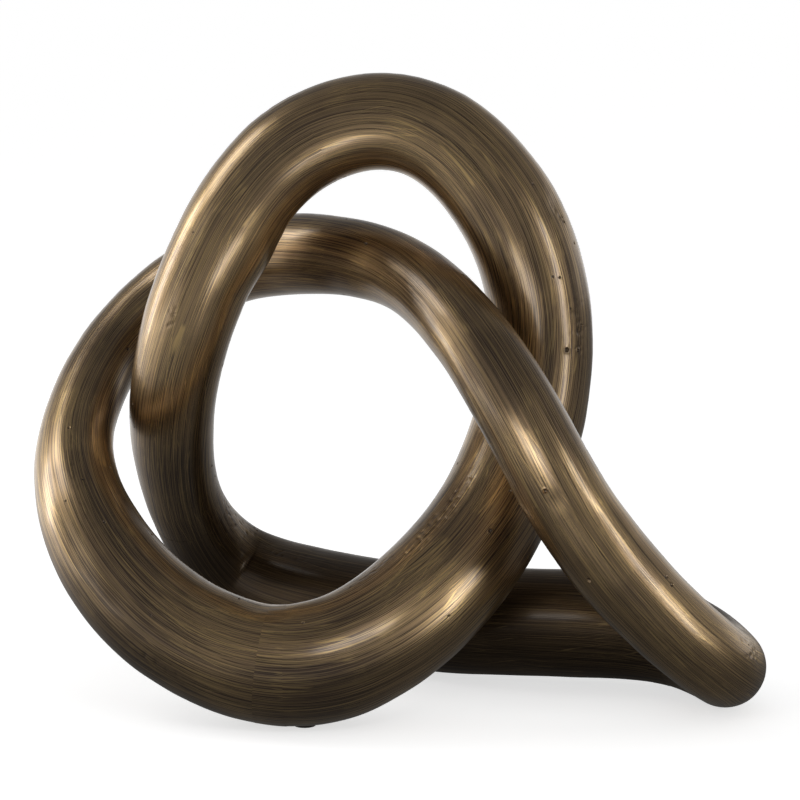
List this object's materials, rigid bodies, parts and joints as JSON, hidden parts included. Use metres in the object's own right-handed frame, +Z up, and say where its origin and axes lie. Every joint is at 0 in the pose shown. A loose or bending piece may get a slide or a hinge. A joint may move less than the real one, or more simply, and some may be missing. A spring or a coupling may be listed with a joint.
{
  "type": "knot sculpture",
  "caption": "Free-standing closed knot of thick round bar that crosses over and under itself, in brushed dark bronze finish, on felt pads.",
  "frame": {"origin": "centre of the knot's box, on the table under the felt pads", "axes": "+Z up, +X to the right of the front view, +Y away from the viewer"},
  "size_m": [0.2648, 0.1599, 0.2249],
  "materials": {
    "casting": "antique bronze wash brushed back along the bar, satin",
    "weld": "ground flush and brushed with the bar",
    "dowel": "ground",
    "felt": "dense wool felt"
  },
  "bodies": {
    "root": {"right_loop_casting": "casting", "top_left_casting": "casting", "base_casting": "casting", "foot_casting": "casting", "crossing_casting": "casting", "left_loop_casting": "casting", "weld_front": "weld", "weld_top": "weld", "weld_heel": "weld", "weld_foot": "weld", "weld_arm": "weld", "weld_back": "weld", "dowel_front": "dowel", "dowel_top": "dowel", "dowel_heel": "dowel", "dowel_foot": "dowel", "dowel_arm": "dowel", "dowel_back": "dowel", "pad_front": "felt", "pad_foot": "felt", "pad_heel": "felt"}
  },
  "joints": []
}
